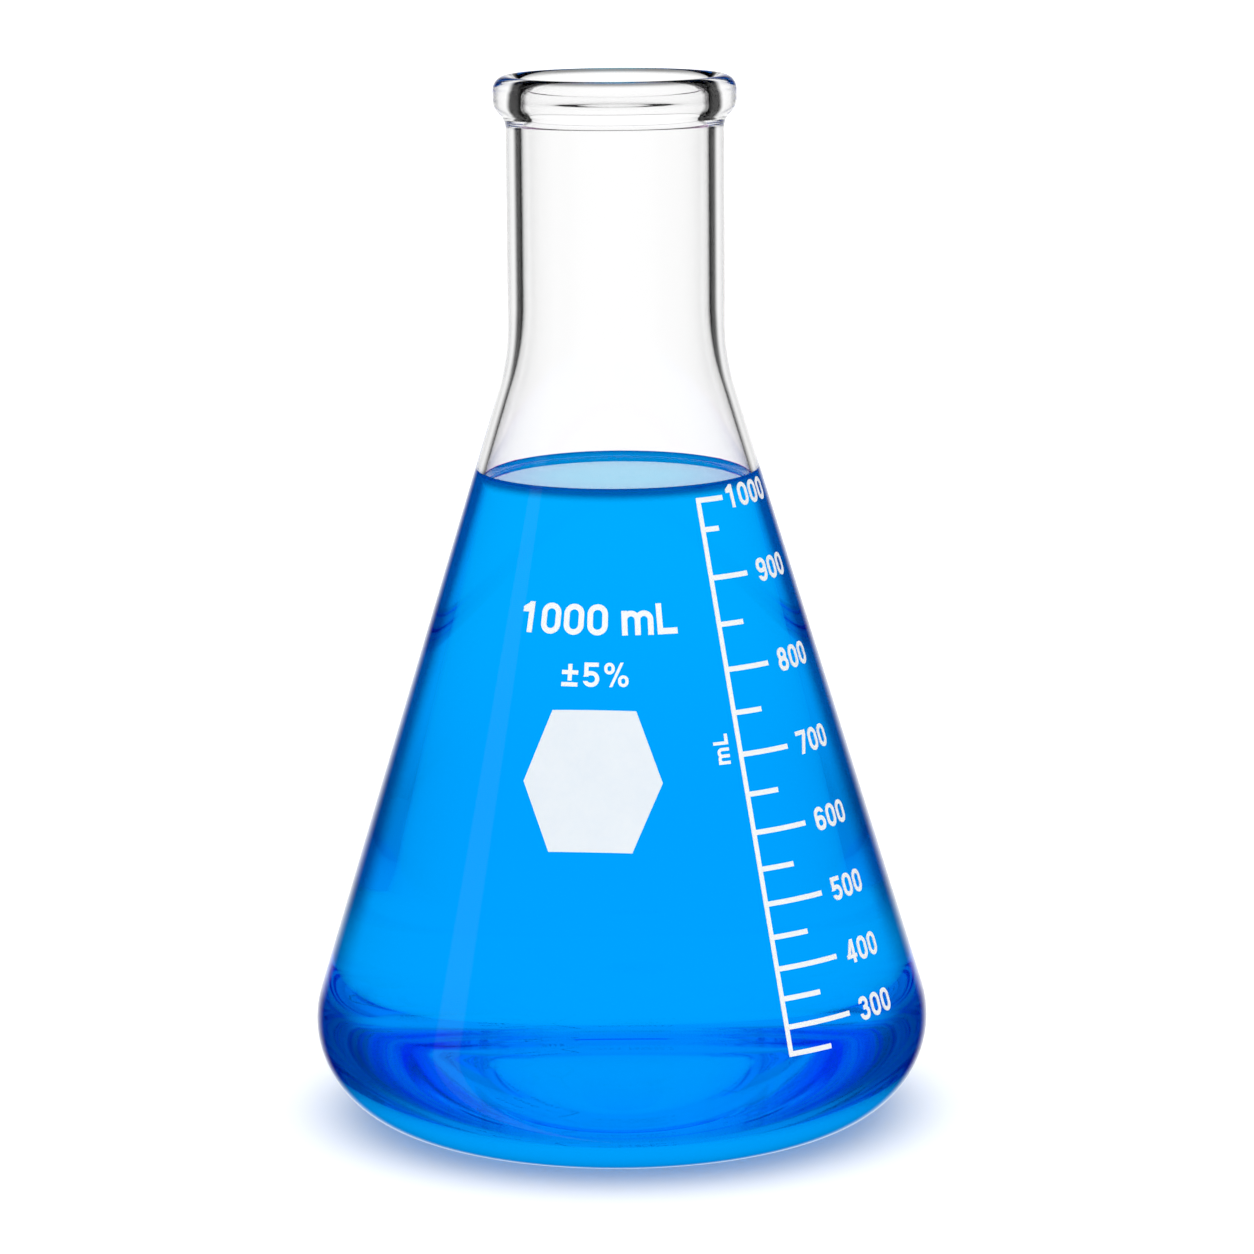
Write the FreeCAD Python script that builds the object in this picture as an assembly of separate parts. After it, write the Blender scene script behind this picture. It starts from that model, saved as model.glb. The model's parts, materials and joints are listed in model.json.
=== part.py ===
import FreeCAD, Part
import math
import os
from FreeCAD import Placement, Rotation, Vector

# A one-litre conical flask of blown glass, filled with a blue liquid and printed in white enamel.
# Millimetres, +Z up. The origin is the centre of the face that the flask stands on.
# Azimuths are degrees around +Z: 0 is the front (-Y), and they grow to the right (+X).

# Glass
body_diameter = 131.0
heel_radius = 20.7
shoulder_height = 162.7
shoulder_radius = 50.0
neck_diameter = 45.6
neck_length = 48.1
neck_wall = 3.2
side_wall = 2.2
floor_thickness = 3.0
foot_ring_width = 4.0
foot_hollow_depth = 0.25
rim_height = 10.8
rim_overhang = 2.6
rim_land = 2.0

# Liquid
level_over_top_mark = 1.4
meniscus_radius = 1.5
contact_angle = 25.0

# Enamel print: a thickness, and then the scale, whose steps grow evenly up to the last but one mark
enamel_thickness = 0.12
line_width = 1.05
scale_azimuth = 32.2
top_mark_drop = 26.7
top_mark_step = 5.9
lowest_mark_over_heel = 5.4
mark_step_growth = 0.065
long_line_angle = 15.8
short_line_angle = 9.3
crowded_line_share = 0.75
mark_volumes = range(250, 1001, 50)

# Numerals beside every second mark
numeral_gap = 3.4
top_numeral_gap = 0.9
numeral_height = 4.9
numeral_width = 3.45
numeral_spacing = 0.8
numeral_weight = 0.9

# Labels on the front, with their centres measured down from the top mark
label_azimuth = -6.8
capacity_drop = 22.7
capacity_height = 6.4
capacity_width = 4.2
capacity_spacing = 0.7
capacity_weight = 1.15
tolerance_drop = 33.5
tolerance_height = 5.0
tolerance_width = 3.4
tolerance_spacing = 1.0
tolerance_weight = 0.85
spot_drop = 54.3
spot_length = 29.0
spot_width = 28.6
spot_flat_width = 17.2
unit_drop = 49.2
unit_gap = 2.1
unit_height = 3.4
unit_width = 2.2
unit_spacing = 0.65
unit_weight = 0.65

# Worked out from the sizes above
body_radius = body_diameter / 2
neck_radius = neck_diameter / 2
bore_radius = neck_radius - neck_wall
rim_radius = neck_radius + rim_overhang
rim_foot = shoulder_height + neck_length
flask_height = rim_foot + rim_height
lip_radius = (rim_radius - bore_radius) / 2
lip_centre = flask_height - lip_radius
heel_centre_radius = body_radius - heel_radius
inner_heel_radius = heel_radius - side_wall
top_mark_height = shoulder_height - top_mark_drop
lowest_mark_height = heel_radius + lowest_mark_over_heel
liquid_level = top_mark_height + level_over_top_mark
print_reach = neck_radius / 2


def half_section(radius, height):
    """A point of the half section, which is turned around +Z to make a round piece."""
    return Vector(radius, 0, height)


def cone_slope():
    """Half angle of the cone whose side touches the heel arc and ends where the neck begins."""
    across = neck_radius - heel_centre_radius
    up = shoulder_height - heel_radius
    reach = math.hypot(across, up)
    return math.atan2(up, across) - math.acos(heel_radius / reach)


slope = cone_slope()
side_normal = half_section(math.cos(slope), math.sin(slope))
side_uphill = half_section(-math.sin(slope), math.cos(slope))


def side_radius(height, depth=0.0):
    """Radius at a height of the straight side, or of the same line shifted into the wall by depth."""
    across = heel_centre_radius * math.cos(slope) + heel_radius * math.sin(slope)
    return (across + heel_radius - depth - height * math.sin(slope)) / math.cos(slope)


def side_height(radius, depth=0.0):
    """Height at which that line has a given radius."""
    return (side_radius(0.0, depth) - radius) / math.tan(slope)


def rounded(before, corner, after, radius):
    """The arc that rounds the corner between two straight lines: its start, middle and end."""
    back = (before - corner).normalize()
    on = (after - corner).normalize()
    half_angle = back.getAngle(on) / 2
    reach = radius / math.tan(half_angle)
    inward = (back + on).normalize()
    middle = corner + inward * (radius / math.sin(half_angle) - radius)
    return corner + back * reach, middle, corner + on * reach


def arc(points):
    return Part.Arc(*points).toShape()


def lines(*points):
    return [Part.makeLine(a, b) for a, b in zip(points, points[1:])]


def turned(edges):
    """The solid that a closed outline sweeps in one turn around +Z."""
    wire = Part.Wire(Part.__sortEdges__(edges))
    return Part.Face(wire).revolve(Vector(), Vector(0, 0, 1), 360)


# Corners of the half section, before they are rounded
foot_corner = half_section(side_radius(0.0), 0)
neck_corner = half_section(neck_radius, shoulder_height)
neck_top = half_section(neck_radius, rim_foot)
inner_foot_corner = half_section(side_radius(floor_thickness, side_wall), floor_thickness)
bore_corner = half_section(bore_radius, side_height(bore_radius, side_wall))
bore_top = half_section(bore_radius, lip_centre)
floor_centre = half_section(0, floor_thickness)

heel = rounded(half_section(0, 0), foot_corner, neck_corner, heel_radius)
shoulder = rounded(foot_corner, neck_corner, neck_top, shoulder_radius)
inner_shoulder = rounded(bore_top, bore_corner, inner_foot_corner, shoulder_radius + side_wall)
inner_heel = rounded(bore_corner, inner_foot_corner, floor_centre, inner_heel_radius)


def foot_edges():
    """The foot ring and the shallow hollow inside it, from the axis outwards."""
    ring_radius = heel[0].x - foot_ring_width
    dome_radius = (ring_radius ** 2 + foot_hollow_depth ** 2) / (2 * foot_hollow_depth)
    half_angle = math.asin(ring_radius / dome_radius) / 2
    drop = dome_radius * (1 - math.cos(half_angle))
    middle = half_section(dome_radius * math.sin(half_angle), foot_hollow_depth - drop)
    ring = half_section(ring_radius, 0)
    dome = arc((half_section(0, foot_hollow_depth), middle, ring))
    return [dome] + lines(ring, heel[0])


def rim_edges():
    """The bead at the mouth: two equal arcs in an S, a short upright land and a full-round lip."""
    land_foot = half_section(rim_radius, lip_centre - rim_land)
    centre = (neck_top + land_foot) / 2
    chord = land_foot - neck_top
    lean = math.atan2(chord.x, chord.z)
    bulge = chord.Length / 4 * math.tan(lean / 2)
    side = half_section(chord.z, -chord.x).normalize() * bulge
    lower = arc((neck_top, (neck_top + centre) / 2 - side, centre))
    upper = arc((centre, (centre + land_foot) / 2 + side, land_foot))
    land_top = half_section(rim_radius, lip_centre)
    crest = half_section(rim_radius - lip_radius, flask_height)
    return [lower, upper] + lines(land_foot, land_top) + [arc((land_top, crest, bore_top))]


def glass_flask():
    """One blown piece: foot, heel, cone, shoulder, neck and beaded rim."""
    outside = foot_edges() + [arc(heel)] + lines(heel[2], shoulder[0]) + [arc(shoulder)]
    outside += lines(shoulder[2], neck_top) + rim_edges()
    inside = lines(bore_top, inner_shoulder[0]) + [arc(inner_shoulder)]
    inside += lines(inner_shoulder[2], inner_heel[0]) + [arc(inner_heel)]
    inside += lines(inner_heel[2], floor_centre, half_section(0, foot_hollow_depth))
    return turned(outside + inside)


def blue_liquid():
    """The filling, which wets the wall: its surface curls up to meet the glass at the contact angle."""
    climb = math.pi / 2 + slope - math.radians(contact_angle)
    contact_height = liquid_level + meniscus_radius * (1 - math.cos(climb))
    contact = half_section(side_radius(contact_height, side_wall), contact_height)
    curl_start = half_section(contact.x - meniscus_radius * math.sin(climb), liquid_level)
    half = climb / 2
    curl_middle = curl_start + half_section(math.sin(half), 1 - math.cos(half)) * meniscus_radius
    edges = lines(contact, inner_heel[0]) + [arc(inner_heel)] + lines(inner_heel[2], floor_centre)
    surface_centre = half_section(0, liquid_level)
    edges += lines(floor_centre, surface_centre, curl_start)
    return turned(edges + [arc((curl_start, curl_middle, contact))])


def enamel_coat():
    """A thin coat over the heel and the cone, from which each print is cut."""
    heel_centre = half_section(heel_centre_radius, heel_radius)

    def heel_arc(radius):
        angles = (0, slope / 2, slope)
        return [heel_centre + half_section(math.cos(a), math.sin(a)) * radius for a in angles]

    under = heel_arc(heel_radius)
    over = heel_arc(heel_radius + enamel_thickness)
    top = shoulder[0]
    over_top = top + side_normal * enamel_thickness
    edges = [arc(under), arc(over)]
    edges += lines(under[2], top, over_top, over[2]) + lines(under[0], over[0])
    return turned(edges)


coat = enamel_coat()


def around(azimuth, point):
    """A point of the half section, carried to an azimuth."""
    turn = math.radians(azimuth)
    return Vector(point.x * math.sin(turn), -point.x * math.cos(turn), point.z)


def on_side(azimuth, height):
    """The placement of a flat drawing on the cone: x to the right, y uphill, z out of the glass."""
    turn = math.radians(azimuth)
    right = Vector(math.cos(turn), math.sin(turn), 0)
    uphill = around(azimuth, side_uphill)
    outward = around(azimuth, side_normal)
    origin = around(azimuth, half_section(side_radius(height), height))
    return Placement(origin, Rotation(right, uphill, outward, "ZXY"))


def printed(stencil):
    """The part of the coat that lies under a stencil."""
    return coat.common(stencil)


def placed(stencil, placement):
    """A stencil, carried from the drawing board to its place on the cone."""
    return stencil.transformed(placement.Matrix)


def sheet(*corners):
    """A stencil through the corners (x, y), thick enough to reach through the coat on one side."""
    points = [Vector(x, y, -print_reach) for x, y in corners]
    return Part.Face(Part.makePolygon(points + points[:1])).extrude(Vector(0, 0, 2 * print_reach))


def block(left, bottom, right, top):
    return sheet((left, bottom), (right, bottom), (right, top), (left, top))


def joined(*stencils):
    return stencils[0].multiFuse(list(stencils[1:])).removeSplitter()


def lozenge(left, bottom, right, top):
    """A rectangle whose two short ends are half circles."""
    radius = min(right - left, top - bottom) / 2
    low = Vector(left + radius, bottom + radius, -print_reach)
    high = Vector(right - radius, top - radius, -print_reach)
    ends = [Part.makeCylinder(radius, 2 * print_reach, centre) for centre in (low, high)]
    if top - bottom > right - left:
        return joined(block(left, low.y, right, high.y), *ends)
    return joined(block(low.x, bottom, high.x, top), *ends)


def loop(left, bottom, right, top, weight):
    """A closed stroke of the given weight just inside a lozenge."""
    hole = lozenge(left + weight, bottom + weight, right - weight, top - weight)
    return lozenge(left, bottom, right, top).cut(hole)


# Each character is drawn in a box from (0, 0) to (width, height), with strokes of one weight.
def zero(width, height, weight):
    return loop(0, 0, width, height, weight)


def one(width, height, weight):
    stem = width * 0.72
    flag_foot = height * 0.66
    flag = sheet((stem - weight, flag_foot), (stem, height), (stem - weight * 0.7, height),
                 (width * 0.12, height * 0.82), (width * 0.12, flag_foot))
    return joined(block(stem - weight, 0, stem, height), flag)


def two_bowls(width, height, weight):
    """Two loops, one on the other, that share the stroke at the waist."""
    waist = height * 0.52
    upper = loop(width * 0.06, waist - weight / 2, width * 0.94, height, weight)
    return joined(loop(0, 0, width, waist + weight / 2, weight), upper)


def three(width, height, weight):
    window = block(-weight, height * 0.29, width * 0.42, height * 0.73)
    return two_bowls(width, height, weight).cut(window)


def four(width, height, weight):
    bar_foot = height * 0.21
    stem = width * 0.84
    slant = sheet((0, bar_foot), (weight * 1.2, bar_foot), (stem - weight * 0.5, height),
                  (stem - weight * 1.1, height))
    upright = block(stem - weight, 0, stem, height)
    return joined(slant, upright, block(0, bar_foot, width, bar_foot + weight * 0.9))


def five(width, height, weight):
    left = width * 0.08
    bowl = loop(0, 0, width, height * 0.65, weight)
    bowl = bowl.cut(block(-weight, height * 0.24, width * 0.4, height * 0.42))
    stem = block(left, height * 0.42, left + weight, height)
    return joined(bowl, stem, block(left, height - weight, width * 0.94, height))


def six(width, height, weight):
    """A bowl, and the left side and top of a tall loop that ends in a hook."""
    window = block(width * 0.5, height * 0.4, width + weight, height * 0.75)
    foot = block(-weight, -weight, width + weight, height * 0.3)
    hook = loop(0, 0, width, height, weight).cut(window).cut(foot)
    return joined(hook, loop(0, 0, width, height * 0.63, weight))


def seven(width, height, weight):
    foot = width * 0.2
    slant = sheet((foot, 0), (foot + weight * 1.15, 0), (width, height - weight),
                  (width, height), (width - weight, height), (width - weight * 1.2, height - weight))
    return joined(slant, block(0, height - weight, width, height))


def nine(width, height, weight):
    drawing = six(width, height, weight)
    drawing.rotate(Vector(width / 2, height / 2, 0), Vector(0, 0, 1), 180)
    return drawing


def letter_m(width, height, weight):
    """Two round arches side by side on three stems, four fifths as tall as a figure."""
    top = height * 0.79
    pitch = (width - weight) / 2
    arches = [loop(left, -top, left + pitch + weight, top, weight) for left in (0, pitch)]
    below = block(-weight, -2 * top, width + weight, 0)
    return joined(block(0, 0, weight, top), *arches).cut(below)


def letter_l(width, height, weight):
    return joined(block(0, 0, weight, height), block(0, 0, width, weight * 1.1))


def plus_minus(width, height, weight):
    middle = height * 0.58
    across = block(0, middle - weight / 2, width, middle + weight / 2)
    upright = block((width - weight) / 2, middle - width / 2, (width + weight) / 2, middle + width / 2)
    return joined(across, upright, block(0, 0, width, weight))


def percent(width, height, weight):
    """Two small loops on either side of a slanted stroke."""
    ring_width = width * 0.43
    ring_height = height * 0.48
    thin = weight * 0.75
    foot = width * 0.2
    slant = sheet((foot, 0), (foot + thin, 0), (width - foot, height), (width - foot - thin, height))
    upper = loop(0, height - ring_height, ring_width, height, thin)
    return joined(slant, upper, loop(width - ring_width, 0, width, ring_height, thin))


characters = {"0": zero, "1": one, "3": three, "4": four, "5": five, "6": six, "7": seven,
              "8": two_bowls, "9": nine, "m": letter_m, "L": letter_l, "±": plus_minus, "%": percent}
character_widths = {" ": 0.33, "m": 1.55, "L": 1.0, "%": 1.45}


def typeset(text, width, height, weight, spacing):
    """Each character's stencil, centred on its own origin, with the place of its centre in the row."""
    widths = [width * character_widths.get(character, 1.0) for character in text]
    start = 0
    row = []
    for character, wide in zip(text, widths):
        if character in characters:
            drawing = characters[character](wide, height, weight)
            drawing.translate(Vector(-wide / 2, -height / 2, 0))
            row.append((start + wide / 2, drawing))
        start += wide + spacing
    return row, start - spacing


def words_around(text, azimuth, height, size, left_share):
    """A row of characters around the cone, with a share of its length left of the azimuth."""
    row, length = typeset(text, *size)
    solids = []
    for place, drawing in row:
        turn = math.degrees((place - length * left_share) / side_radius(height))
        solids += printed(placed(drawing, on_side(azimuth + turn, height))).Solids
    return Part.makeCompound(solids)


def words_uphill(text, azimuth, height, size):
    """A row of characters that runs up the cone, centred on the height."""
    row, length = typeset(text, *size)
    solids = []
    for place, drawing in row:
        drawing.rotate(Vector(), Vector(0, 0, 1), 90)
        along = (place - length / 2) * math.cos(slope)
        solids += printed(placed(drawing, on_side(azimuth, height + along))).Solids
    return Part.makeCompound(solids)


top_volume = mark_volumes[-1]
numbered_volumes = mark_volumes[1::2]


def mark_height(volume):
    """Height of a mark: even growth from the lowest to the last but one, and the top mark by itself."""
    if volume == top_volume:
        return top_mark_height

    def climb(steps):
        return steps + mark_step_growth * steps * (steps - 1) / 2

    share = climb(mark_volumes.index(volume)) / climb(len(mark_volumes) - 2)
    return lowest_mark_height + share * (top_mark_height - top_mark_step - lowest_mark_height)


def line_angle(volume):
    """Angle that a mark's line covers: long beside a numeral, and less at the crowded top."""
    angle = long_line_angle if volume in numbered_volumes else short_line_angle
    return angle * crowded_line_share if volume in mark_volumes[-2:] else angle


def mark_stencil(volume):
    """A slice square to the side of the cone, from inside the upright line to the mark's end."""
    height = mark_height(volume)
    middle = half_section(side_radius(height), height)
    out = side_normal * print_reach
    up = side_uphill * (line_width / 2)
    corners = [middle - out - up, middle + out - up, middle + out + up, middle - out + up]
    lead = math.degrees(line_width / 2.2 / middle.x)
    section = Part.Face(Part.makePolygon(corners + corners[:1]))
    section.rotate(Vector(), Vector(0, 0, 1), scale_azimuth - 90 - lead)
    return section.revolve(Vector(), Vector(0, 0, 1), lead + line_angle(volume))


def scale_lines():
    """The upright line and all its marks, one connected print."""
    length = (top_mark_height - lowest_mark_height) / math.cos(slope)
    line = block(-line_width / 2, 0, line_width / 2, length)
    upright = placed(line, on_side(scale_azimuth, lowest_mark_height))
    marks = [mark_stencil(volume) for volume in mark_volumes]
    return printed(upright.multiFuse(marks))


def numeral(volume):
    height = mark_height(volume)
    gap = top_numeral_gap if volume == top_volume else numeral_gap
    start = scale_azimuth + line_angle(volume) + math.degrees(gap / side_radius(height))
    size = (numeral_width, numeral_height, numeral_weight, numeral_spacing)
    return words_around(str(volume), start, height, size, 0)


def capacity_mark():
    size = (capacity_width, capacity_height, capacity_weight, capacity_spacing)
    return words_around("1000 mL", label_azimuth, top_mark_height - capacity_drop, size, 0.5)


def tolerance_mark():
    size = (tolerance_width, tolerance_height, tolerance_weight, tolerance_spacing)
    return words_around("±5%", label_azimuth, top_mark_height - tolerance_drop, size, 0.5)


def unit_mark():
    """The unit of the scale, set along the upright line and read from the right."""
    height = top_mark_height - unit_drop
    aside = (line_width + unit_height) / 2 + unit_gap
    azimuth = scale_azimuth - math.degrees(aside / side_radius(height))
    return words_uphill("mL", azimuth, height, (unit_width, unit_height, unit_weight, unit_spacing))


def writing_spot():
    """A six-sided patch that takes pencil."""
    half_flat = spot_flat_width / 2
    half_width = spot_width / 2
    half_length = spot_length / 2
    outline = sheet((-half_flat, half_length), (-half_width, 0), (-half_flat, -half_length),
                    (half_flat, -half_length), (half_width, 0), (half_flat, half_length))
    return printed(placed(outline, on_side(label_azimuth, top_mark_height - spot_drop)))


nodes = {
    "glass_flask": glass_flask(),
    "blue_liquid": blue_liquid(),
    "scale_lines": scale_lines(),
    "capacity_mark": capacity_mark(),
    "tolerance_mark": tolerance_mark(),
    "unit_mark": unit_mark(),
    "writing_spot": writing_spot(),
}
for volume in numbered_volumes:
    nodes[f"numeral_{volume}"] = numeral(volume)

os.makedirs("parts", exist_ok=True)
for name, shape in nodes.items():
    shape.exportStep(f"parts/{name}.step")
    print(name, len(shape.Solids), "solids,", round(shape.Volume, 2), "mm3, valid", shape.isValid())
print("half angle of the cone", round(math.degrees(slope), 3))
print("interior up to the liquid level", round(nodes["blue_liquid"].Volume / 1000, 1), "mL")
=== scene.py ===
# %% [markdown]
# # A conical flask with a blue liquid
# The real flask is one piece of blown glass. A turning mould gives it its round shape, the rim is rolled
# over while it is soft, and white enamel is screen printed on the cone and fired. The solids of the
# frame already have the right sizes. This lesson keeps the printed enamel as it is, and turns new, very
# smooth surfaces for the glass and the liquid, because refraction shows every facet.

# %% Load the frame
import json
import math

import bpy
import numpy as np
from mathutils import Matrix, Vector


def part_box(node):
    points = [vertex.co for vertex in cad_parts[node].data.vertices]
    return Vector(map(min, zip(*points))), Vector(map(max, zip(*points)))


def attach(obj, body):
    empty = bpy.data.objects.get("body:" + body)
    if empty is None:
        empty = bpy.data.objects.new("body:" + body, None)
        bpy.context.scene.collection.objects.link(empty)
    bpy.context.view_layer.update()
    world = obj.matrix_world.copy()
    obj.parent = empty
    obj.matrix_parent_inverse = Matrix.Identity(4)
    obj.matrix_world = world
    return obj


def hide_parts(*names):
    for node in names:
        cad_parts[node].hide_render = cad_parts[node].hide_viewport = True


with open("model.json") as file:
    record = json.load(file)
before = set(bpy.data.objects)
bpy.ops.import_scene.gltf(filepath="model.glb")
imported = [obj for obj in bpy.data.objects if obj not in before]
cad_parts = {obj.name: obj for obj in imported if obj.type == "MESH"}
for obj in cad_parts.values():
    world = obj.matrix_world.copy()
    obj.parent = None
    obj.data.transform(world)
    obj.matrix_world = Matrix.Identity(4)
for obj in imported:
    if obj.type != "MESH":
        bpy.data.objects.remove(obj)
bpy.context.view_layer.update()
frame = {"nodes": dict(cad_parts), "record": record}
scene = bpy.context.scene

# %% [markdown]
# ## Sizes
# The frame gives the height, the body and the bore. The other sizes of the section are the flask's own,
# in millimetres, as they would stand on its drawing.

# %% Sizes of the section
mm = 0.001
glass_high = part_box("glass_flask")[1]
liquid_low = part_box("blue_liquid")[0]
neck_bore = next(mount for mount in frame["record"]["mounts"] if mount["name"] == "neck_bore")

flask_height = glass_high.z
body_radius = glass_high.x
bore_radius = neck_bore["dims"]["r_mm"] * mm
floor_top = liquid_low.z
heel_radius = 20.7 * mm
shoulder_height = 162.7 * mm
shoulder_radius = 50.0 * mm
neck_radius = 22.8 * mm
neck_length = 48.1 * mm
side_wall = 2.2 * mm
foot_ring_width = 4.0 * mm
foot_hollow_depth = 0.25 * mm
rim_radius = 25.4 * mm
rim_land = 2.0 * mm
liquid_level = 137.4 * mm
meniscus_radius = 1.5 * mm
contact_angle = math.radians(25)
print("bore", bore_radius, "floor", floor_top, "height", flask_height)

# %% [markdown]
# ## A profile from lines and arcs
# A turned piece is drawn as half of its section: points (radius, height) in a row. Straight stretches
# and rounded corners are enough for a flask. The points of a stretch crowd together towards its ends, so
# that the shading of a straight wall isn't bent by the corner next to it.

# %% Lines and rounded corners
def point(radius, height):
    return np.array([radius, height], float)


def unit(vector):
    return vector / np.linalg.norm(vector)


def stretch(start, end, count):
    """start + (end - start) * s, where s = (1 - cos(pi u)) / 2 and u runs evenly from 0 to 1."""
    share = (1 - np.cos(np.pi * np.linspace(0, 1, count))) / 2
    return start + np.outer(share, end - start)


def arc(centre, start, end, count):
    """centre + radius * (cos a, sin a), with the angle a running evenly the short way from start to end."""
    first, last = start - centre, end - centre
    sweep = np.arctan2(first[0] * last[1] - first[1] * last[0], first @ last)
    angles = np.arctan2(first[1], first[0]) + sweep * np.linspace(0, 1, count)
    return centre + np.linalg.norm(first) * np.stack([np.cos(angles), np.sin(angles)], axis=1)


def rounded(before, corner, after, radius, count):
    """The arc of a radius that touches both lines of a corner: its centre lies on their bisector."""
    back, on = unit(before - corner), unit(after - corner)
    half_angle = np.arccos(back @ on) / 2
    reach = radius / np.tan(half_angle)
    centre = corner + unit(back + on) * radius / np.sin(half_angle)
    return arc(centre, corner + back * reach, corner + on * reach, count)


def joined(*runs):
    """The runs one after another, without the points that repeat where they meet."""
    row = np.concatenate(runs)
    apart = np.linalg.norm(np.diff(row, axis=0), axis=1) > 1e-7
    return row[np.concatenate([[True], apart])]


# %% [markdown]
# ## Turning a profile
# A lathe could be copied with the Screw modifier or the Spin tool. Here the surface is worked out as one
# array: every profile point at every turn. Both ends of the profile lie on the axis, and there the rings
# close to a point.

# %% The lathe
def turned(name, profile, turns, sharp_angle):
    """Point (r, h) of the profile at turn t goes to (r sin t, -r cos t, h)."""
    angle = np.arange(turns) * (2 * np.pi / turns)
    radius, height = profile[1:-1].T
    rings = np.stack([np.outer(radius, np.sin(angle)), np.outer(radius, -np.cos(angle)),
                      np.repeat(height[:, None], turns, axis=1)], axis=-1)
    poles = [[0, 0, profile[0][1]], [0, 0, profile[-1][1]]]
    points = np.vstack([rings.reshape(-1, 3), poles])
    first_pole, last_pole = len(points) - 2, len(points) - 1
    here = np.arange(turns)
    following = np.roll(here, -1)
    row = np.arange(len(radius) - 1)[:, None] * turns
    quads = np.stack([row + here, row + following, row + turns + following, row + turns + here], axis=-1)
    top = (len(radius) - 1) * turns
    bottom_fan = np.stack([np.full(turns, first_pole), following, here], axis=-1)
    top_fan = np.stack([top + here, top + following, np.full(turns, last_pole)], axis=-1)
    mesh = bpy.data.meshes.new(name)
    faces = quads.reshape(-1, 4).tolist() + bottom_fan.tolist() + top_fan.tolist()
    mesh.from_pydata(points.tolist(), [], faces)
    mesh.polygons.foreach_set("use_smooth", np.ones(len(mesh.polygons), bool))
    mesh.set_sharp_from_angle(angle=sharp_angle)
    mesh.update()
    piece = bpy.data.objects.new(name, mesh)
    scene.collection.objects.link(piece)
    print(name, len(profile), "profile points,", 2 * len(quads.reshape(-1, 4)) + 2 * turns, "triangles")
    return piece


turns = 440
sharp_edge = math.radians(40)

# %% [markdown]
# ## The glass
# The half section runs from the middle of the foot, around the outside to the lip, and back down the
# inside to the middle of the floor. The cone touches the heel arc and ends where the neck begins, which
# fixes its slope.

# %% Slope of the cone
heel_centre = point(body_radius - heel_radius, heel_radius)
across, up = point(neck_radius, shoulder_height) - heel_centre
slope = math.atan2(up, across) - math.acos(heel_radius / math.hypot(across, up))


def side_radius(height, depth=0.0):
    """Radius of the cone's straight side at a height, or of the line that lies a depth inside it."""
    reach = heel_centre[0] * math.cos(slope) + heel_radius * (1 + math.sin(slope)) - depth
    return (reach - height * math.sin(slope)) / math.cos(slope)


def side_height(radius, depth=0.0):
    """Height at which that line has a radius."""
    return (side_radius(0.0, depth) - radius) / math.tan(slope)


print("half angle of the cone:", round(math.degrees(slope), 3), "degrees")


# %% Profile of the glass
rim_foot = shoulder_height + neck_length
climb = math.pi / 2 + slope - contact_angle
contact_height = liquid_level + meniscus_radius * (1 - math.cos(climb))
lip_radius = (rim_radius - bore_radius) / 2
lip_centre = point(rim_radius - lip_radius, flask_height - lip_radius)


def inner_corners(depth):
    """Corners of the inside line: where floor and side meet, and where side and bore meet."""
    foot = point(side_radius(floor_top + depth - side_wall, depth), floor_top + depth - side_wall)
    return foot, point(bore_radius, side_height(bore_radius, depth))


def foot_run():
    """A shallow dome, which is a circle through the middle of the hollow and the ring's inner edge."""
    ring_radius = heel_centre[0] - foot_ring_width
    dome_radius = (ring_radius ** 2 + foot_hollow_depth ** 2) / (2 * foot_hollow_depth)
    dome_centre = point(0, foot_hollow_depth - dome_radius)
    dome = arc(dome_centre, point(0, foot_hollow_depth), point(ring_radius, 0), 16)
    return joined(dome, stretch(point(ring_radius, 0), point(heel_centre[0], 0), 5))


def rim_run():
    """The bead: an S of two equal arcs out from the neck, an upright land, and a half circle for the lip."""
    start = point(neck_radius, rim_foot)
    end = point(rim_radius, lip_centre[1] - rim_land)
    middle = (start + end) / 2
    width, height = end - start
    bend_radius = (width ** 2 + height ** 2) / (4 * width)
    lower = arc(start + point(bend_radius, 0), start, middle, 10)
    upper = arc(end - point(bend_radius, 0), middle, end, 10)
    land = stretch(end, lip_centre + point(lip_radius, 0), 5)
    crest = lip_centre + point(0, lip_radius)
    outer_lip = arc(lip_centre, lip_centre + point(lip_radius, 0), crest, 12)
    inner_lip = arc(lip_centre, crest, lip_centre - point(lip_radius, 0), 12)
    return joined(lower, upper, land, outer_lip, inner_lip)


def glass_profile():
    """Foot, heel, cone, shoulder, neck and rim outside; bore, shoulder, cone, heel and floor inside."""
    foot_corner = point(side_radius(0.0), 0)
    neck_corner = point(neck_radius, shoulder_height)
    neck_top = point(neck_radius, rim_foot)
    heel = rounded(point(0, 0), foot_corner, neck_corner, heel_radius, 36)
    shoulder = rounded(foot_corner, neck_corner, neck_top, shoulder_radius, 14)
    rim = rim_run()
    inner_foot, bore_corner = inner_corners(side_wall)
    inner_shoulder = rounded(rim[-1], bore_corner, inner_foot, shoulder_radius + side_wall, 14)
    inner_heel = rounded(bore_corner, inner_foot, point(0, floor_top), heel_radius - side_wall, 36)
    contact = point(side_radius(contact_height, side_wall), contact_height)
    outside = joined(foot_run(), heel, stretch(heel[-1], shoulder[0], 9), shoulder,
                     stretch(shoulder[-1], neck_top, 7), rim)
    inside = joined(stretch(rim[-1], inner_shoulder[0], 7), inner_shoulder,
                    stretch(inner_shoulder[-1], contact, 7), stretch(contact, inner_heel[0], 9), inner_heel,
                    stretch(inner_heel[-1], point(0, floor_top), 7))
    return joined(outside, inside)


flask = turned("blown_glass", glass_profile(), turns, sharp_edge)

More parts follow.
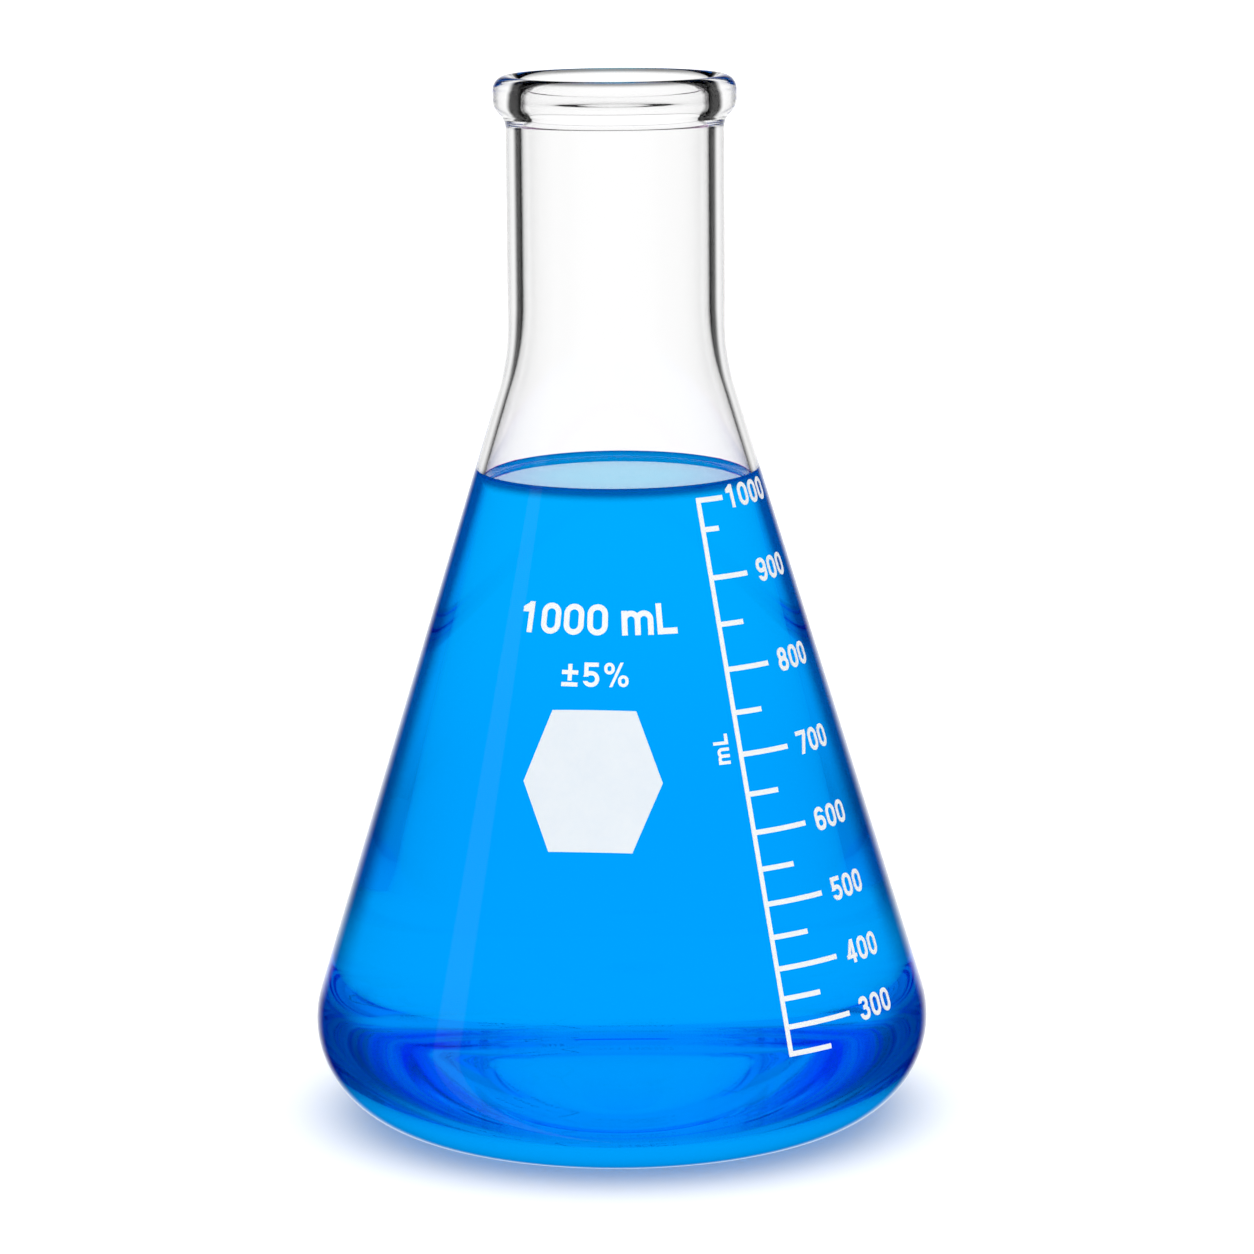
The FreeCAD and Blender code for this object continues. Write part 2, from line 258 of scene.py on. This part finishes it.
# %% [markdown]
# ## The liquid
# The filling touches the whole inside of the glass. Two surfaces in the same place would flicker, so the
# liquid reaches a hair's breadth into the glass. At its rim the surface climbs the wall in a small arc,
# because water wets clean glass.

# %% Profile of the liquid
liquid_overlap = 0.05 * mm


def liquid_profile():
    """Floor, heel and side of the inside, then the arc of the meniscus and the level surface."""
    depth = side_wall - liquid_overlap
    inner_foot, bore_corner = inner_corners(depth)
    floor_middle = point(0, inner_foot[1])
    heel = rounded(bore_corner, inner_foot, floor_middle, heel_radius - depth, 36)[::-1]
    contact = point(side_radius(contact_height, depth), contact_height)
    curl_start = point(contact[0] - meniscus_radius * math.sin(climb), liquid_level)
    curl = arc(curl_start + point(0, meniscus_radius), contact, curl_start, 24)
    return joined(stretch(floor_middle, heel[0], 7), heel, stretch(heel[-1], contact, 9), curl,
                  stretch(curl_start, point(0, liquid_level), 9))


liquid = turned("blue_filling", liquid_profile(), turns, sharp_edge)

# %% [markdown]
# ## Materials: small helpers
# A material is a little network of nodes. These helpers add one node each, with its settings and its
# links, so that a material below reads as a list of steps.

# %% Node helpers
def add(tree, kind, inputs=None, **settings):
    """A new node with its settings, and its inputs set to values or linked to other nodes' outputs."""
    node = tree.nodes.new(kind)
    for name, value in settings.items():
        setattr(node, name, value)
    for socket, value in (inputs or {}).items():
        if isinstance(value, bpy.types.NodeSocket):
            tree.links.new(value, node.inputs[socket])
        else:
            node.inputs[socket].default_value = value
    return node


def maths(tree, operation, *values):
    """One step of arithmetic on numbers and outputs."""
    return add(tree, "ShaderNodeMath", dict(enumerate(values)), operation=operation).outputs[0]


def over(tree, value, limit):
    """1 where the value is over the limit, and 0 elsewhere."""
    return maths(tree, "GREATER_THAN", value, limit)


def ramp(tree, value, low, high):
    """0 up to low, 1 from high on, and 3 u^2 - 2 u^3 between them."""
    return add(tree, "ShaderNodeMapRange", {"Value": value, "From Min": low, "From Max": high},
               interpolation_type="SMOOTHSTEP").outputs[0]


def choose(tree, share, zero, one):
    """A value between two values."""
    return add(tree, "ShaderNodeMix", {0: share, 2: zero, 3: one}).outputs[0]


def blend(tree, share, zero, one):
    """A colour between two colours."""
    return add(tree, "ShaderNodeMix", {0: share, 6: zero, 7: one}, data_type="RGBA").outputs[2]


def new_material(name):
    """An empty node material and its output."""
    material = bpy.data.materials.new(name)
    material.use_nodes = True
    material.node_tree.nodes.clear()
    return material, material.node_tree, material.node_tree.nodes.new("ShaderNodeOutputMaterial")


# %% [markdown]
# A piece may wear two materials: one where it meets the air, and one where it meets the other piece. The
# faces are sorted by where they lie and which way they look.

# %% Dressing a piece
def dress(piece, *materials):
    piece.data.materials.clear()
    for material in materials:
        piece.data.materials.append(material)


def mark_faces(piece, chosen):
    """Gives the chosen faces the piece's second material."""
    piece.data.polygons.foreach_set("material_index", chosen.astype(np.int32))
    piece.data.update()
    print(piece.name, "faces with the second material:", int(chosen.sum()), "of", len(chosen))


def face_vectors(piece, name):
    """One vector of every face, such as its centre or its normal, as rows."""
    values = np.empty(len(piece.data.polygons) * 3, np.float32)
    piece.data.polygons.foreach_get(name, values)
    return values.reshape(-1, 3)


# %% [markdown]
# ## A shared effect
# Glass and enamel are both a little uneven. One node group mixes two sizes of noise, and each material
# uses it with its own sizes.

# %% Mottle group
def mottle_group():
    """Group: two sizes of noise on the piece's own coordinates, mixed to one value around a half."""
    tree = bpy.data.node_groups.new("mottle", "ShaderNodeTree")
    for name in ("Coarse", "Fine", "Share"):
        tree.interface.new_socket(name, in_out="INPUT", socket_type="NodeSocketFloat")
    tree.interface.new_socket("Value", in_out="OUTPUT", socket_type="NodeSocketFloat")
    given = tree.nodes.new("NodeGroupInput")
    result = tree.nodes.new("NodeGroupOutput")
    place = add(tree, "ShaderNodeTexCoord").outputs["Object"]
    coarse = add(tree, "ShaderNodeTexNoise", {
        "Vector": place, "Scale": given.outputs["Coarse"], "Detail": 3.0})
    fine = add(tree, "ShaderNodeTexNoise", {
        "Vector": place, "Scale": given.outputs["Fine"], "Detail": 2.0})
    mixed = choose(tree, given.outputs["Share"], coarse.outputs[0], fine.outputs[0])
    tree.links.new(mixed, result.inputs["Value"])
    return tree


mottle = mottle_group()
print("group:", mottle.name, [socket.name for socket in mottle.interface.items_tree])


def mottled(tree, coarse, fine, share):
    """One use of the group in a material, with its own values."""
    node = add(tree, "ShaderNodeGroup", node_tree=mottle)
    for name, value in (("Coarse", coarse), ("Fine", fine), ("Share", share)):
        node.inputs[name].default_value = value
    return node.outputs["Value"]


# %% [markdown]
# ## Glass
# Borosilicate glass bends light a little less than window glass. What counts at a face is the ratio of
# the two sides: glass against air where the wall is dry, and glass against water below the surface of
# the liquid. A long, very shallow waviness makes the dark lines of blown walls waver. The bump gives
# that, and the shader does the rest.

# %% Clear glass
white = (1.0, 1.0, 1.0, 1.0)
glass_ior = 1.473
water_ior = 1.333


def wetted_faces(piece):
    """Faces of the inside, which look at the axis or up from the floor, below the edge of the liquid."""
    centre = face_vectors(piece, "center")
    normal = face_vectors(piece, "normal")
    inward = np.sum(centre[:, :2] * normal[:, :2], axis=1) < 0
    on_floor = (normal[:, 2] > 0.5) & (centre[:, 2] < body_radius)
    low = (centre[:, 2] < contact_height) & (centre[:, 2] > floor_top - liquid_overlap)
    return (inward | on_floor) & low


def glass(name, ior):
    material, tree, output = new_material(name)
    wave = mottled(tree, coarse=28.0, fine=90.0, share=0.2)
    normal = add(tree, "ShaderNodeBump", {"Strength": 0.05, "Distance": 0.3 * mm, "Height": wave})
    shader = add(tree, "ShaderNodeBsdfPrincipled", {
        "Base Color": white, "Roughness": 0.0, "IOR": ior,
        "Transmission Weight": 1.0, "Normal": normal.outputs["Normal"]})
    tree.links.new(shader.outputs[0], output.inputs["Surface"])
    return material


dress(flask, glass("clear_glass", glass_ior), glass("wetted_glass", glass_ior / water_ior))
mark_faces(flask, wetted_faces(flask))

# %% [markdown]
# ## Blue liquid
# A dye takes out all of the red and most of the green. The glass already bends the light where the two
# touch, so the liquid's wall only colours it, and its surface both colours and bends it. Here the dye
# acts once, where the light enters; each later crossing takes a little more green, so light that wanders
# in the foot comes out deeper. A dark line under the surface and on the curl where it climbs the wall,
# and dark edges at the sides and the heel, are painted shade: they stand for light that the wall throws
# aside. They depend on the height and on the angle of view.

# %% Dyed water and painted shade lines
# Painted shade: the dark blue of the lines under the surface, on the curl, at the sides and at the heel,
# where the wall throws light aside.
painted_shade_blue = (0.0, 0.015, 0.2, 1.0)
later_tint = (1.0, 0.9, 1.0, 1.0)
surface_middle_blue = (0.0, 0.38, 0.74, 1.0)
surface_rim_blue = (0.0, 0.07, 0.48, 1.0)
wall_low_blue = (0.0, 0.143, 1.0, 1.0)
wall_high_blue = (0.0, 0.188, 1.0, 1.0)
surface_radius = side_radius(liquid_level, side_wall)
pale_radius = 0.3 * surface_radius
entry_crossings = 2.5
# Heights and angles of view of the painted shade lines.
painted_top_shade_heights = liquid_level - 1.7 * mm, liquid_level + 0.2 * mm
painted_curl_shade_heights = liquid_level + 0.3 * mm, contact_height
painted_side_shade_heights = 25 * mm, 55 * mm
painted_side_shade_facing = 0.23, 0.268
painted_heel_shade_start_heights = 8 * mm, 16 * mm
painted_heel_shade_end_heights = 24 * mm, 36 * mm
painted_heel_shade_facing = 0.155, 0.235


def surface_colour(tree):
    """Pale in the middle, deeper towards the wall, and darkest, in a painted shade line, where the surface
    climbs it.
    """
    place = add(tree, "ShaderNodeTexCoord").outputs["Object"]
    flat = add(tree, "ShaderNodeVectorMath", {0: place, 1: (1.0, 1.0, 0.0)}, operation="MULTIPLY")
    radius = add(tree, "ShaderNodeVectorMath", {0: flat.outputs[0]}, operation="LENGTH").outputs["Value"]
    height = add(tree, "ShaderNodeSeparateXYZ", {0: place}).outputs["Z"]
    outward = ramp(tree, radius, pale_radius, surface_radius)
    level = blend(tree, outward, surface_middle_blue, surface_rim_blue)
    # Painted shade: a dark line where the surface climbs the wall.
    return blend(tree, ramp(tree, height, *painted_curl_shade_heights), level, painted_shade_blue)


def wall_colour(tree):
    """Lighter towards the top, with painted shade: a dark line under the surface, and dark where the wall is
    seen edge on.
    """
    place = add(tree, "ShaderNodeTexCoord").outputs["Object"]
    height = add(tree, "ShaderNodeSeparateXYZ", {0: place}).outputs["Z"]
    upper_half = ramp(tree, height, liquid_level / 2, liquid_level)
    body = blend(tree, upper_half, wall_low_blue, wall_high_blue)
    # Painted shade: a dark line under the surface, and dark edges at the sides and the heel where the wall
    # is seen edge on.
    painted_top_shade = ramp(tree, height, *painted_top_shade_heights)
    facing = add(tree, "ShaderNodeLayerWeight", {"Blend": 0.5}).outputs["Facing"]
    painted_side_shade_band = ramp(tree, height, *painted_side_shade_heights)
    painted_side_shade = maths(tree, "MULTIPLY", ramp(tree, facing, *painted_side_shade_facing), painted_side_shade_band)
    painted_heel_shade_end = ramp(tree, height, *painted_heel_shade_end_heights)
    painted_heel_shade_band = maths(tree, "SUBTRACT", ramp(tree, height, *painted_heel_shade_start_heights), painted_heel_shade_end)
    painted_heel_shade = maths(tree, "MULTIPLY", ramp(tree, facing, *painted_heel_shade_facing), painted_heel_shade_band)
    outline = maths(tree, "MAXIMUM", painted_side_shade, painted_heel_shade)
    return blend(tree, maths(tree, "MAXIMUM", painted_top_shade, outline), body, painted_shade_blue)


def dyed_water(name, ior, entry_colour):
    """Light that has crossed at most two surfaces is still entering. Later it gets the later tint."""
    material, tree, output = new_material(name)
    crossed = add(tree, "ShaderNodeLightPath").outputs["Transmission Depth"]
    shader = add(tree, "ShaderNodeBsdfPrincipled", {
        "Base Color": blend(tree, over(tree, crossed, entry_crossings), entry_colour(tree), later_tint),
        "Roughness": 0.0, "IOR": ior, "Transmission Weight": 1.0})
    tree.links.new(shader.outputs[0], output.inputs["Surface"])
    return material


def wall_faces(piece):
    """Faces outside the edge of the surface, and the floor."""
    centre = face_vectors(piece, "center")
    outside = np.hypot(centre[:, 0], centre[:, 1]) > side_radius(contact_height, side_wall)
    return outside | (centre[:, 2] < floor_top)


at_surface = dyed_water("blue_liquid", water_ior, surface_colour)
at_wall = dyed_water("liquid_at_wall", 1.0, wall_colour)
dress(liquid, at_surface, at_wall)
mark_faces(liquid, wall_faces(liquid))

# %% [markdown]
# ## White enamel
# The print is a fired glass paste: opaque, satin, slightly uneven in thickness. A fine grain breaks its
# shine and a faint mottling keeps the large patch from looking like paper. The patch is a little less
# white than the lines.

# %% Enamel
def enamel(name, thin_white, thick_white):
    material, tree, output = new_material(name)
    patches = mottled(tree, coarse=160.0, fine=900.0, share=0.4)
    colour = blend(tree, patches, thin_white, thick_white)
    rough = add(tree, "ShaderNodeMapRange", {"Value": patches, "To Min": 0.38, "To Max": 0.6})
    grain = mottled(tree, coarse=2500.0, fine=6000.0, share=0.5)
    normal = add(tree, "ShaderNodeBump", {"Strength": 0.2, "Distance": 0.02 * mm, "Height": grain})
    shader = add(tree, "ShaderNodeBsdfPrincipled", {
        "Base Color": colour, "Roughness": rough.outputs[0], "Normal": normal.outputs["Normal"]})
    tree.links.new(shader.outputs[0], output.inputs["Surface"])
    return material


line_white = enamel("white_enamel", (0.93, 0.97, 1.0, 1.0), (0.98, 0.99, 1.0, 1.0))
spot_white = enamel("white_enamel_matt", (0.79, 0.87, 0.95, 1.0), (0.89, 0.94, 0.98, 1.0))
prints = [name for name in frame["nodes"] if name not in ("glass_flask", "blue_liquid")]
for name in prints:
    dress(frame["nodes"][name], spot_white if name == "writing_spot" else line_white)
print("printed nodes:", len(prints))

# %% [markdown]
# ## Riding on the frame
# The new surfaces stand for the solids of the same pieces and move with the flask's one body.

# %% Tie the pieces to the frame
for piece, node, finish in ((flask, "glass_flask", "clear_glass"), (liquid, "blue_liquid", "blue_liquid")):
    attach(piece, "root")
    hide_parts(node)

# %% [markdown]
# ## Floor
# The flask stands on white paper. The paper lies a hair below the glass: the thin air there keeps the
# foot a mirror from inside, as it is on a table. To the eye the paper is a little lighter than its light
# makes it, so that it runs into the white background, and the shadow around the foot stays.

# %% White paper
floor_gap = 0.2 * mm
floor_reach = 6.0
floor_lift = 0.17


def white_floor():
    """A square, far wider than the view, which glass neither mirrors nor bends into view."""
    corners = np.array([[-1, -1], [1, -1], [1, 1], [-1, 1]]) * floor_reach
    points = np.column_stack([corners, np.full(4, -floor_gap)])
    mesh = bpy.data.meshes.new("white_floor")
    mesh.from_pydata(points.tolist(), [], [(0, 1, 2, 3)])
    material, tree, output = new_material("white_paper")
    paper = add(tree, "ShaderNodeBsdfDiffuse", {"Color": (0.985, 0.985, 0.985, 1.0)})
    lift = maths(tree, "MULTIPLY", add(tree, "ShaderNodeLightPath").outputs["Is Camera Ray"], floor_lift)
    glow = add(tree, "ShaderNodeEmission", {"Color": white, "Strength": lift})
    both = add(tree, "ShaderNodeAddShader", {0: paper.outputs[0], 1: glow.outputs[0]})
    tree.links.new(both.outputs[0], output.inputs["Surface"])
    mesh.materials.append(material)
    floor = bpy.data.objects.new("white_floor", mesh)
    scene.collection.objects.link(floor)
    floor.visible_transmission = False
    floor.visible_glossy = False


white_floor()

# %% [markdown]
# ## Sky
# The background is plain white. As a light, the same sky is strongest overhead, like a large soft lamp,
# with some light from the front for the print. A flask full of water gathers light like a lens and sends
# it on to the paper, which makes the blue in its shadow.

# %% White sky
front_light = 0.85
gathered_light = 1.3


def white_sky():
    """Strength 1 to the eye. As a light 2 z^2 + front_light y^2, y to the front, or gathered_light."""
    world = bpy.data.worlds.new("white_sky")
    world.use_nodes = True
    tree = world.node_tree
    direction = add(tree, "ShaderNodeTexCoord").outputs["Generated"]
    axes = add(tree, "ShaderNodeSeparateXYZ", {0: direction}).outputs
    overhead = maths(tree, "POWER", maths(tree, "MAXIMUM", axes["Z"], 0.0), 2.0)
    towards = maths(tree, "MAXIMUM", maths(tree, "MULTIPLY", axes["Y"], -1.0), 0.0)
    front = maths(tree, "MULTIPLY", maths(tree, "POWER", towards, 2.0), front_light)
    lamps = maths(tree, "MULTIPLY_ADD", overhead, 2.0, front)
    path = add(tree, "ShaderNodeLightPath").outputs
    soft = choose(tree, over(tree, path["Transmission Depth"], 0.5), lamps, gathered_light)
    strength = choose(tree, over(tree, path["Diffuse Depth"], 0.5), 1.0, soft)
    background = tree.nodes["Background"]
    background.inputs["Color"].default_value = white
    tree.links.new(strength, background.inputs["Strength"])
    scene.world = world


white_sky()

# %% [markdown]
# ## Camera
# The picture is taken with a long lens from about a metre away, a little above the flask, so the foot
# and the liquid's surface show as narrow ellipses.

# %% Camera
lens = 137.5
camera_place = Vector((1.73 * mm, -1.0, 287.2 * mm))
camera_down = math.radians(10.332)
camera_roll = math.radians(-0.4375)


def long_lens_camera():
    data = bpy.data.cameras.new("camera")
    data.lens = lens
    data.sensor_width = 36.0
    camera = bpy.data.objects.new("camera", data)
    turn = Matrix.Rotation(math.pi / 2 - camera_down, 4, "X") @ Matrix.Rotation(camera_roll, 4, "Z")
    camera.matrix_world = Matrix.Translation(camera_place) @ turn
    scene.collection.objects.link(camera)
    scene.camera = camera
    return camera


camera = long_lens_camera()

# %% [markdown]
# ## Dark tent
# Clear glass in front of white would vanish. Photographers put black cards around it and leave only the
# background bright: the walls then bend dark into view, and draw the outline. The tent here is one shell
# around the flask with a window behind it. Only reflected and bent light meets it, and it goes around
# with the camera. The window is narrow for thin glass, so that the neck gets dark lines. It is wider for
# light that crossed the liquid, and widest and least dark for light that was turned back inside it.
# Mirrored light sees a small window and one faint upright card.

# %% Tent
tent_radius = 5.0
tent_distance = 1.035
columns = 48
rows = 24
liquid_crossings = 4.5
turned_back_crossings = 6.5
card_around = math.radians(67)


def tent_light(tree, path):
    """Brightness by direction, in angles from the window's middle, and by the surfaces crossed."""
    place = add(tree, "ShaderNodeTexCoord").outputs["Object"]
    direction = add(tree, "ShaderNodeVectorMath", {0: place}, operation="NORMALIZE").outputs[0]
    axes = add(tree, "ShaderNodeSeparateXYZ", {0: direction}).outputs

    def fade(angle, bright, dark, low, high):
        """From high, up to the bright angle in degrees, down to low from the dark angle on."""
        share = ramp(tree, angle, math.radians(bright), math.radians(dark))
        return maths(tree, "MULTIPLY_ADD", share, low - high, high)

    width = maths(tree, "ABSOLUTE", axes["X"])
    ahead = maths(tree, "MULTIPLY", axes["Z"], -1.0)
    aside = maths(tree, "ARCTAN2", width, ahead)
    sideways = maths(tree, "ARCSINE", width)
    below = maths(tree, "ARCSINE", maths(tree, "MULTIPLY", axes["Y"], -1.0))
    thin = maths(tree, "MULTIPLY", fade(aside, 25, 39, 0.0, 1.12), fade(below, 15, 35, 0.3, 1.0))
    filled = fade(sideways, 36, 60, 0.4, 1.06)
    turned_back = fade(sideways, 35, 70, 0.72, 1.03)
    around = maths(tree, "ARCTAN2", maths(tree, "MULTIPLY", axes["X"], -1.0), axes["Z"])
    off_card = maths(tree, "ABSOLUTE", maths(tree, "SUBTRACT", around, card_around))
    window = fade(maths(tree, "ARCCOSINE", ahead), 12, 30, 0.0, 1.0)
    mirrored = maths(tree, "MAXIMUM", window, fade(off_card, 5, 6.5, 0.0, 0.2))
    crossed = path["Transmission Depth"]
    inside = choose(tree, over(tree, crossed, turned_back_crossings), filled, turned_back)
    through = choose(tree, over(tree, crossed, liquid_crossings), thin, inside)
    return choose(tree, path["Is Transmission Ray"], mirrored, through)


def tent_cloth():
    """It shines on reflected and bent light, and is not there for light that lights paper and print."""
    material, tree, output = new_material("tent_cloth")
    path = add(tree, "ShaderNodeLightPath").outputs
    glow = add(tree, "ShaderNodeEmission", {"Color": white, "Strength": tent_light(tree, path)})
    clear = add(tree, "ShaderNodeBsdfTransparent")
    soft = over(tree, path["Diffuse Depth"], 0.5)
    seen = add(tree, "ShaderNodeMixShader", {0: soft, 1: glow.outputs[0], 2: clear.outputs[0]})
    tree.links.new(seen.outputs[0], output.inputs["Surface"])
    return material


def dark_tent():
    """A sphere around the flask: direction from two angles, times the radius."""
    turn = np.linspace(0, 2 * np.pi, columns + 1)
    fall = np.linspace(0, np.pi, rows + 1)[:, None]
    level = np.cos(fall) * np.ones(columns + 1)
    across = np.sin(fall) * np.cos(turn)
    away = np.sin(fall) * np.sin(turn)
    points = tent_radius * np.stack([across, level, away], axis=-1)
    first = np.arange(rows)[:, None] * (columns + 1) + np.arange(columns)
    faces = np.stack([first, first + 1, first + columns + 2, first + columns + 1], axis=-1)
    mesh = bpy.data.meshes.new("dark_tent")
    mesh.from_pydata(points.reshape(-1, 3).tolist(), [], faces.reshape(-1, 4).tolist())
    mesh.materials.append(tent_cloth())
    tent = bpy.data.objects.new("dark_tent", mesh)
    scene.collection.objects.link(tent)
    tent.parent = camera
    tent.location = (0, 0, -tent_distance)
    tent.visible_camera = False
    tent.visible_diffuse = False
    tent.visible_shadow = False
    tent.visible_volume_scatter = False


dark_tent()

# %% [markdown]
# ## Last settings
# Light crosses many surfaces of glass and liquid, and runs around in the foot, so its path may be long:
# with a limit of 64, dark rings show in the foot.

# %% Finish
scene.view_settings.view_transform = "Standard"
light_bends = 256
scene.cycles.max_bounces = light_bends
scene.cycles.transmission_bounces = light_bends
scene.cycles.glossy_bounces = light_bends
